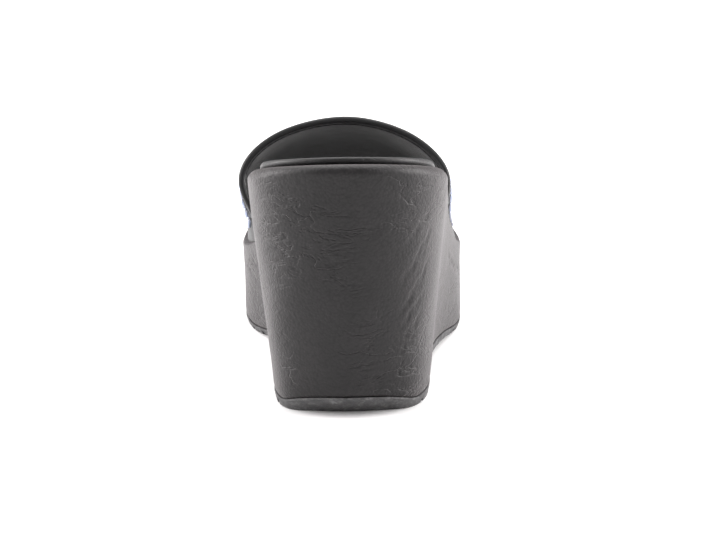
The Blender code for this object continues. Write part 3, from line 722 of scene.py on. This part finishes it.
def brushed_lining():
    """Brushed black lining: a short nap that lies in patches, matt, with a soft sheen at its edges."""
    nap = Finish("brushed lining", specular_ior_level=0.20, sheen_weight=0.30, sheen_roughness=0.55)
    hairs = nap.cloud(0.00028, 3.0, 0.75)
    patches = nap.cloud(0.009, 3.0, 0.6, twist=0.5)
    tone = nap.mixed(patches.between(0.35, 0.7), (0.0050, 0.0050, 0.0055), (0.0120, 0.0118, 0.0122))
    bump = nap.relief(patches, 0.00025)
    bump = nap.relief(hairs, 0.00008, bump)
    return nap.wear(base_color=tone, roughness=0.70 + hairs * 0.2, normal=bump)


ACROSS = 220                 # points across the strap, from foot to foot
FOLD_STEPS = 7               # points round each folded edge, between the two skins
near_edge = np.array([0.0, 0.008, 0.018, 0.030, 0.042, 0.050, 0.056, 0.064, 0.072, 0.085])
strap_depth = np.concatenate([near_edge, np.linspace(0.10, 0.90, 41), 1.0 - near_edge[::-1]])
strap_across = evenly(np.linspace(0.0, 1.0, ACROSS))
across, depth = np.meshgrid(strap_across, strap_depth, indexing="ij")
normal = strap_normal(across, depth)
outer = strap_point(across, depth)
from_edge = np.minimum(depth, 1.0 - depth) * STRAP_LONG
hem = HEM_RAISE * (1.0 - smooth(from_edge, HEM_WIDTH - 0.0003, HEM_WIDTH))
groove = 0.00018 * np.exp(-((from_edge - 0.6 * HEM_WIDTH) / 0.0004) ** 2)
inner = outer - (STRAP_WALL - 0.0001 + hem - groove)[..., None] * normal
outer = outer - groove[..., None] * normal
for side in (0, -1):
    inner[side, :, 2] = top_height(inner[side, :, 1]) + CLEARANCE


def folded_edge(column, beside, turn):
    """Half a ring from the outer skin round to the inner one: cosine through the wall, sine outwards."""
    middle = 0.5 * (outer[:, column] + inner[:, column])
    half = 0.5 * (outer[:, column] - inner[:, column])
    ahead = unit(outer[:, column] - outer[:, beside])
    angle = np.radians(np.linspace(0.0, 180.0, FOLD_STEPS + 2)[1:-1])[None, :, None]
    ring = half[:, None] * np.cos(angle) + STRAP_FOLD * np.sin(angle) * ahead[:, None]
    return middle[:, None] + ring[:, ::turn]


front = folded_edge(-1, -2, 1)
rear = folded_edge(0, 1, -1)
loops = np.concatenate([outer, front, inner[:, ::-1], rear], axis=1)
loops[0, :, 2] = top_height(loops[0, :, 1]) + CLEARANCE
loops[-1, :, 2] = top_height(loops[-1, :, 1]) + CLEARANCE
width = loops.shape[1]
corners = grid_faces(ACROSS, width, closed_columns=True)
column = np.tile(np.arange(width), ACROSS - 1)
wide = outer.shape[1]
hem_columns = int(np.sum(near_edge * STRAP_LONG < HEM_WIDTH))
lining_from = wide + front.shape[1] + hem_columns
lining_to = 2 * wide + front.shape[1] - hem_columns
lining_faces = (column >= lining_from) & (column < lining_to)


ends = []
for loop in (loops[0], loops[-1]):
    outer_side = loop[:wide]
    inner_side = loop[wide + FOLD_STEPS:2 * wide + FOLD_STEPS][::-1]
    ends.append(np.stack([outer_side, 0.5 * (outer_side + inner_side), inner_side]))
strap = lay("strap", [
    (loops, corners[~lining_faces], 0),
    (loops, corners[lining_faces], 1),
    (ends[0], grid_faces(3, wide), 0),
    (ends[1], grid_faces(3, wide), 0),
])
strap.data.materials.append(strap_leather())
strap.data.materials.append(brushed_lining())
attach(strap, "root")
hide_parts("upper")

# The stitches
# One row of black thread along each hem, front and rear, that shows on both sides of the strap.

STITCH_LENGTH = 0.0021
STITCH_PITCH = 0.0029
THREAD_WIDTH = 0.00042
STITCH_FIRST = 0.035         # share of the girth where a row of stitches starts
STITCH_SPAN = 0.93           # and the share that it is long


def thread():
    """Waxed black thread with a fine twist."""
    yarn = Finish("thread", specular_ior_level=0.4)
    twist = yarn.cloud(0.0003, 2.0)
    tone = yarn.mixed(twist, (0.010, 0.010, 0.011), (0.035, 0.034, 0.036))
    return yarn.wear(base_color=tone, roughness=0.45 + twist * 0.2, normal=yarn.relief(twist, 0.00006))


def stitch_row(depth, inside):
    """Small capsules end to end along the strap at one depth, on its outside or its lining."""
    number = int(STRAP_GIRTH * STITCH_SPAN // STITCH_PITCH)
    share = STITCH_FIRST + STITCH_SPAN * (np.arange(number) + 0.5) / number
    spread = 0.5 * STITCH_LENGTH / STRAP_GIRTH
    spots = share[:, None] + spread * np.linspace(-1.0, 1.0, 6)[None]
    across = evenly(spots)
    depths = np.full_like(across, depth)
    out = strap_normal(across, depths)
    centre = strap_point(across, depths) - out * np.where(inside, STRAP_WALL + 0.00012, 0.00008)
    ahead = unit(np.gradient(centre, axis=1))
    sideways = np.cross(out, ahead)
    size = 0.5 * THREAD_WIDTH * np.array([0.25, 0.8, 1.0, 1.0, 0.8, 0.25])[None, :, None, None]
    angle = np.radians(np.arange(0.0, 360.0, 60.0))[None, None, :, None]
    ringed = np.cos(angle) * sideways[:, :, None] + np.sin(angle) * out[:, :, None]
    return centre[:, :, None] + size * ringed


stitch_edge = 0.6 * HEM_WIDTH / STRAP_LONG
sheets = []
for depth_here in (stitch_edge, 1.0 - stitch_edge):
    for inside in (False, True):
        stitches = stitch_row(depth_here, inside)
        for one in stitches:
            tips = one.mean(axis=1, keepdims=True)
            closed = np.concatenate([np.repeat(tips[:1], 6, axis=1), one, np.repeat(tips[-1:], 6, axis=1)])
            sheets.append((closed, grid_faces(8, 6, closed_columns=True), 0))
seam = lay("strap_stitches", sheets, 180.0)
seam.data.materials.append(thread())
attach(seam, "root")

# The stripes
# Raised, rounded bars of pearly pale enamel, laid on the strap in slanting rows that mirror each other
# about its centre line, each tapering a little and round at its ends.

STRIPE_ROWS = 19             # rows from the centre line down to a foot
STRIPE_FALL_ROWS = 9.4       # rows that a stripe runs down between the rear and the front edge
STRIPE_WIDTH = 0.0020
STRIPE_RAISE = 0.0010
STRIPE_MARGIN = 0.0034       # bare leather beside the centre line and along the strap's edges
STRIPE_FOOT = 0.0054         # bare leather above each foot
STRIPE_STEPS = 56            # sections along a stripe
STRIPE_ROUNDING = 14.0       # one over the share of a stripe's length that each round end takes
STRIPE_NARROWING = 0.22      # share of the width that a stripe loses towards the front
STRIPE_LIFT = 0.0004         # from the strap's skin to the underside of a stripe in the solids


def pearl():
    """Pale blue-white enamel with a pearly drift to lilac and a clear glossy coat."""
    enamel = Finish("stripe enamel", coat_weight=0.7, coat_roughness=0.06, specular_ior_level=0.6)
    drift = enamel.cloud(0.006, 2.0, 0.5, twist=0.8)
    flakes = enamel.cloud(0.0006, 2.0, 0.6)
    tone = enamel.mixed(drift.between(0.35, 0.65), (0.62, 0.70, 0.90), (0.80, 0.82, 0.93))
    tone = enamel.mixed(flakes.between(0.55, 0.8) * 0.5, tone, (0.92, 0.95, 1.0))
    return enamel.wear(base_color=tone, roughness=0.16 + flakes * 0.14,
                       normal=enamel.relief(flakes, 0.00003))


def stripe_runs():
    """Start and end of each stripe of one side: share of the girth from the centre line, and depth."""
    margin = STRIPE_MARGIN / STRAP_GIRTH
    room = 0.5 - (STRIPE_MARGIN + STRIPE_FOOT) / STRAP_GIRTH
    pitch = room / STRIPE_ROWS
    fall = pitch * STRIPE_FALL_ROWS
    edge = STRIPE_MARGIN / STRAP_LONG
    runs = []
    for k in range(-int(STRIPE_FALL_ROWS), STRIPE_ROWS):
        level = (k + 0.5) * pitch
        start = max(edge, -level / fall)
        end = min(1.0 - edge, (room - level) / fall)
        if (end - start) * STRAP_LONG > 2.0 * STRIPE_WIDTH:
            runs.append(((margin + level + fall * start, start), (margin + level + fall * end, end)))
    return runs


def stripe_sheet(side, start, end):
    """A stripe's bar: its section is a low dome on a short upright edge, sunk a little in the leather.

    Near each end the width is the root of one less the square of the share left to the full width, so
    the ends are round, and towards the front the bar narrows.
    """
    place = 0.5 - 0.5 * np.cos(np.pi * np.linspace(0.0, 1.0, STRIPE_STEPS))
    tip = np.clip(np.minimum(place, 1.0 - place) * STRIPE_ROUNDING, 0.0, 1.0)
    size = np.sqrt(1.0 - (1.0 - tip) ** 2) * (1.0 - STRIPE_NARROWING * smooth(place, 0.4, 1.0))
    line = np.array(start) + (np.array(end) - np.array(start)) * place[:, None]
    across = evenly(0.5 + side * line[:, 0])
    centre = strap_point(across, line[:, 1])
    out = strap_normal(across, line[:, 1])
    ahead = unit(np.gradient(centre, axis=0))
    sideways = unit(np.cross(out, ahead))
    angle = np.radians(np.linspace(0.0, 180.0, 13))
    aside = np.concatenate([0.5 * np.cos(angle), [-0.47, 0.47]])
    up = np.concatenate([np.sin(angle) ** 0.8, [-0.35, -0.35]])
    offset = STRIPE_WIDTH * size[:, None, None] * aside[None, :, None] * sideways[:, None]
    lift = STRIPE_LIFT + STRIPE_RAISE * np.maximum(size, 0.25)[:, None] * up[None]
    return centre[:, None] + offset + lift[..., None] * out[:, None]


enamel = pearl()
for word, side in (("medial", -1), ("lateral", 1)):
    for number, (start, end) in enumerate(stripe_runs(), start=1):
        bar = stripe_sheet(side, start, end)
        stripe = lay(f"pearl_{word}_{number:02d}",
                     [(bar, grid_faces(bar.shape[0], bar.shape[1], closed_columns=True), 0)], 60.0)
        stripe.data.materials.append(enamel)
        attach(stripe, "root")
        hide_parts(f"stripe_{word}_{number:02d}")

# The studio
# A plain pale floor, wide soft boxes at both sides and a broad one overhead. The camera stands behind
# the heel, above the shoe and looking down at it, turned by less than two degrees.

EYE = Vector((0.025773, -0.819352, 0.243977))
LENS_PIXELS = 2236.07        # focal length in pixels of a picture 720 wide
PICTURE = (720.0, 540.0)     # the picture's width and height in pixels
SENSOR_WIDTH = 36.0          # millimetres
CENTRE_PIXELS = (352.13, 248.04)
AZIMUTH = 1.6845             # degrees, as are the next two
ELEVATION = 12.848
ROLL = -1.15


def pale_floor():
    """Matt pale paper with a trace of unevenness."""
    paper = Finish("floor paper", specular_ior_level=0.05, roughness=0.9)
    cloud = paper.cloud(0.35, 2.0)
    return paper.wear(base_color=paper.mixed(cloud, (0.86, 0.86, 0.86), (0.89, 0.89, 0.89)))


def soft_box(name, place, aim, size, power, colour=(1.0, 1.0, 1.0)):
    """A rectangular area light at place that faces aim."""
    lamp = bpy.data.lights.new(name, "AREA")
    lamp.shape = "RECTANGLE"
    lamp.size, lamp.size_y = size
    lamp.energy = power
    lamp.color = colour
    box = bpy.data.objects.new(name, lamp)
    box.location = place
    box.rotation_euler = (Vector(aim) - Vector(place)).to_track_quat("-Z", "Y").to_euler()
    bpy.context.scene.collection.objects.link(box)


floor_mesh = bpy.data.meshes.new("floor")
floor_mesh.from_pydata([(-4, -4, 0), (4, -4, 0), (4, 4, 0), (-4, 4, 0)], [], [(0, 1, 2, 3)])
floor = bpy.data.objects.new("floor", floor_mesh)
floor.data.materials.append(pale_floor())
bpy.context.scene.collection.objects.link(floor)

soft_box("left box", (-1.3, 0.15, 0.55), (0.0, 0.07, 0.05), (1.4, 1.1), 42.0, (1.0, 0.97, 0.97))
soft_box("right box", (1.3, 0.15, 0.55), (0.0, 0.07, 0.05), (1.4, 1.1), 42.0, (1.0, 0.97, 0.97))
soft_box("overhead box", (0.0, 0.5, 1.7), (0.0, 0.15, 0.0), (2.2, 1.6), 40.0)

world = bpy.context.scene.world or bpy.data.worlds.new("studio")
bpy.context.scene.world = world
world.use_nodes = True
world.node_tree.nodes["Background"].inputs["Color"].default_value = (1.0, 1.0, 1.0, 1.0)
world.node_tree.nodes["Background"].inputs["Strength"].default_value = 0.25
bpy.context.scene.view_settings.view_transform = "Standard"

turn_angle, rise_angle, roll_angle = np.radians((AZIMUTH, ELEVATION, ROLL))
back = Vector((np.sin(turn_angle) * np.cos(rise_angle), -np.cos(turn_angle) * np.cos(rise_angle),
               np.sin(rise_angle)))
level_right = (-back).cross(Vector((0.0, 0.0, 1.0))).normalized()
level_up = level_right.cross(-back)
right = level_right * np.cos(roll_angle) + level_up * np.sin(roll_angle)
up = level_up * np.cos(roll_angle) - level_right * np.sin(roll_angle)
aim = -back * LENS_PIXELS + right * (0.5 * PICTURE[0] - CENTRE_PIXELS[0])
aim = (aim - up * (0.5 * PICTURE[1] - CENTRE_PIXELS[1])).normalized()
right = aim.cross(up).normalized()
up = right.cross(aim)
camera_data = bpy.data.cameras.new("camera")
camera_data.sensor_width = SENSOR_WIDTH
camera_data.lens = SENSOR_WIDTH * LENS_PIXELS / PICTURE[0]
camera = bpy.data.objects.new("camera", camera_data)
camera.matrix_world = Matrix.Translation(EYE) @ Matrix((right, up, -aim)).transposed().to_4x4()
bpy.context.scene.collection.objects.link(camera)
bpy.context.scene.camera = camera
